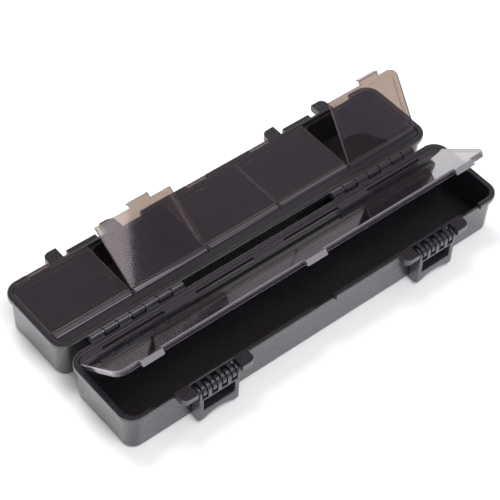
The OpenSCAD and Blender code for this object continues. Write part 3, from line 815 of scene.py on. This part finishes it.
# %% Latches
BACK_V0, BACK_V1 = 0.08 - RING_R, -1.6     # the two faces of the window's back
BACK_LAP = 0.5                             # how far it runs into the frame
back_low, back_high = -WINDOW_S1 - BACK_LAP, -WINDOW_S0 + BACK_LAP
back_section = [(BACK_V0, back_low), (BACK_V1, back_low), (BACK_V1, back_high), (BACK_V0, back_high)]
ring_foot = -BODY_S - 0.8                  # a ring's foot is sunk into the frame
ring_section = [(-RING_R, ring_foot), (RING_R, ring_foot), *arc(0, 0, RING_R, 0, 180, 22)]
outer_ring = (LATCH_W / 2, 4.5 * RING_PITCH - RING_GAP / 2 - RING_L)


def window_back():
    shape = bar(back_section, -WINDOW_W / 2 - BACK_LAP, WINDOW_W / 2 + BACK_LAP)
    # The whole back is marked pale: partly the keeper's rubbing, partly painted light inside the window.
    wear_and_highlight = shape.verts.layers.float.new("wear_and_highlight")
    for point in shape.verts:
        point[wear_and_highlight] = 1.0
    return shape


for side, name in ((-1, "left"), (1, "right")):
    at_pin = tool_half @ Matrix.Translation((side * LATCH_X, LATCH_V, LATCH_Z))
    parts = [place(latch_frame(), at_pin, "frame"), place(window_back(), at_pin, "back")]
    for way in (-1, 1):
        ends = sorted(way * x for x in outer_ring)
        parts.append(place(soften(bar(ring_section, *ends), RING_ROUND), at_pin, "outer_ring"))
    at_comb = tool_half @ Matrix.Translation((0, LATCH_V, LATCH_Z))
    ring = place(soften(bar(ring_section, -RING_L / 2, RING_L / 2), RING_ROUND), at_comb, "ring")
    parts.append(repeat(ring, f"latch_rings_{name}", case_skin, count=3,
                        first_x=side * LATCH_X - 2 * RING_PITCH, step_x=2 * RING_PITCH))
    whole = bmesh.new()
    for part in parts:
        whole.from_mesh(part)
    body = f"latch_{name}"
    dress(whole, Matrix.Identity(4), f"{body}_skin", case_skin, body, "case_plastic", body)

# %% [markdown]
# The pins and rods are cut from wire, with their ends tumbled round. A cylinder would
# end in a knife edge, so each pin is a short lathe: rings of points at a few stations,
# narrowing at both ends.

# %% Pins and rods
AROUND = 28                                # points round a wire
TIP = ((0, 0.62), (0.3, 0.86), (1, 1))     # how far along the tip, and the share of the radius there


def wire_pin(middle, reach, v, z, diameter):
    """A pin along x that runs for reach to both sides of its middle."""
    x0, x1, radius = middle - reach, middle + reach, diameter / 2
    tip = 0.3 * radius
    stations = [(x0 + along * tip, size) for along, size in TIP]
    stations += [(x1 - along * tip, size) for along, size in reversed(TIP)]
    turns = [radians(360 * k / AROUND) for k in range(AROUND)]
    shape = bmesh.new()
    rings = [[shape.verts.new((x, v + radius * size * cos(t), z + radius * size * sin(t))) for t in turns]
             for x, size in stations]
    for here, there in zip(rings, rings[1:]):
        for k in range(AROUND):
            shape.faces.new((here[k - 1], here[k], there[k], there[k - 1]))
    shape.faces.new(rings[0])
    shape.faces.new(rings[-1][::-1])
    bmesh.ops.recalc_face_normals(shape, faces=shape.faces)
    return shape


# For each solid: middle, reach, v, z, diameter, the half that it is drawn in and the body that it rides on.
pins = {"cover_rod": (0, 134.3, COVER_AXIS_V, ROD_Z, 1.6, tool_half, "base"),
        "bit_lid_rod": (0, 135.8, LID_AXIS_V, ROD_Z, 1.6, bits_half, "lid")}
for side, name in ((-1, "left"), (1, "right")):
    pins[f"latch_pin_{name}"] = (side * LATCH_X, 15.15, LATCH_V, LATCH_Z, 2, tool_half, "base")
    pins[f"case_pin_{name}"] = (side * HINGE_X, 31.95, 0, HINGE_Z, 2.4, tool_half, "base")
for node, (middle, reach, v, z, diameter, matrix, body) in pins.items():
    dress(wire_pin(middle, reach, v, z, diameter), matrix, f"{node}_wire", steel, body, "pin_steel", node)

# %% [markdown]
# The box lies on a white table, which also lights its walls from below. A glowing sheet
# would be white but lose the shadow, so the table is a plain diffuse sheet. Seen by the
# camera or through clear plastic it has a darker tone than the one that lights the
# walls: it is then just white, and keeps the shadow of the box.

# %% Table
TABLE_HALF, TABLE_Z = 4.0, -0.0002         # in metres, a hair below the box
SEEN_TONE = (0.565, 0.565, 0.565)
FIBRE_SCALE, FIBRE_DARK, FIBRE_PALE = 900, (0.79, 0.79, 0.79), (0.81, 0.81, 0.81)


def white_table(name):
    made, nodes, link, shader = start_finish(name)
    shader.inputs["Roughness"].default_value = 0.9
    shader.inputs["Specular IOR Level"].default_value = 0.0
    fibre = add_noise(nodes, link, FIBRE_SCALE, 2)
    lit = blend_tones(nodes, link, fibre, FIBRE_DARK, FIBRE_PALE)
    path, seen = nodes.new("ShaderNodeLightPath"), nodes.new("ShaderNodeMath")
    seen.operation = "MAXIMUM"
    link(path.outputs["Is Camera Ray"], seen.inputs[0])
    link(path.outputs["Is Transmission Ray"], seen.inputs[1])
    link(blend_tones(nodes, link, seen.outputs[0], lit, SEEN_TONE), shader.inputs["Base Color"])
    return made


corners = [(x * TABLE_HALF, y * TABLE_HALF, TABLE_Z) for x, y in ((-1, -1), (1, -1), (1, 1), (-1, 1))]
sheet = bpy.data.meshes.new("table")
sheet.from_pydata(corners, [], [(0, 1, 2, 3)])
sheet.materials.append(white_table("white_table"))
table = bpy.data.objects.new("table", sheet)
bpy.context.scene.collection.objects.link(table)
print("table", 2 * TABLE_HALF, "m wide")

# %% [markdown]
# One lamp could light all of this, but the clear lids would then throw hard shadows. So
# two lamps shine on the table alone, with only the opaque pieces in their way: the front
# one makes it white, and the back one gives the soft shadow in front of the box. The
# third is a softbox that shines on everything. Its straight edge ends the glare on the
# second lid, so it is turned to lie along that line.

# %% Lamps
def make_lamp(name, spot, width, depth, power):
    """A rectangular lamp that hangs level and shines down. Sizes are in metres."""
    lamp = bpy.data.objects.new(name, bpy.data.lights.new(name, "AREA"))
    lamp.data.shape = "RECTANGLE"
    lamp.data.size = width
    lamp.data.size_y = depth
    lamp.data.energy = power
    lamp.location = spot
    bpy.context.scene.collection.objects.link(lamp)
    return lamp


lit_sheet = bpy.data.collections.new("lit_sheet")
lit_sheet.objects.link(table)
front_lamp = make_lamp("table_lamp_front", spot=(-0.4, -1.5, 2.3), width=1.7, depth=1.7, power=108)
back_lamp = make_lamp("table_lamp_back", spot=(0.1, 1.05, 1.65), width=0.8, depth=1.2, power=37)
for lamp in (front_lamp, back_lamp):
    lamp.light_linking.receiver_collection = lit_sheet
    lamp.light_linking.blocker_collection = opaque
softbox = make_lamp("softbox", spot=(0.36, -0.35, 1.42), width=0.6, depth=1.2, power=6.8)
softbox.rotation_euler.z = radians(-14.5)
print("lamps:", front_lamp.name, back_lamp.name, softbox.name)

# %% [markdown]
# Everything around is a dim room, a little brighter and bluer in front, with a bright
# sweep low behind the box for the gloss to mirror. Walls and cards could be modelled, but
# the world's own colour, mixed by direction, does the same with no mesh. The camera's own
# rays see plain white.

# %% Room
ROOM_TONE, FRONT_TONE, SWEEP_TONE = (0.26, 0.237, 0.26), (0.40, 0.395, 0.49), (1.3, 1.28, 1.3)


def light_room(nodes, link):
    way, split = nodes.new("ShaderNodeTexCoord"), nodes.new("ShaderNodeSeparateXYZ")
    link(way.outputs["Generated"], split.inputs["Vector"])
    low = spread(nodes, link, split.outputs["Z"], 0.50, 0.66, 1, 0)
    behind = spread(nodes, link, split.outputs["Y"], 0.1, 0.5, 0, 1)
    in_front = spread(nodes, link, split.outputs["Y"], -0.5, -0.1, 1, 0)
    walls = blend_tones(nodes, link, in_front, ROOM_TONE, FRONT_TONE)
    room = blend_tones(nodes, link, multiply(nodes, link, low, behind), walls, SWEEP_TONE)
    path = nodes.new("ShaderNodeLightPath")
    shown = blend_tones(nodes, link, path.outputs["Is Camera Ray"], room, (1.0, 1.0, 1.0))
    link(shown, nodes["Background"].inputs["Color"])


world = bpy.data.worlds.new("studio")
bpy.context.scene.world = world
world.use_nodes = True
light_room(world.node_tree.nodes, world.node_tree.links.new)
bpy.context.scene.view_settings.view_transform = "Standard"
print("room with", len(world.node_tree.nodes), "nodes")
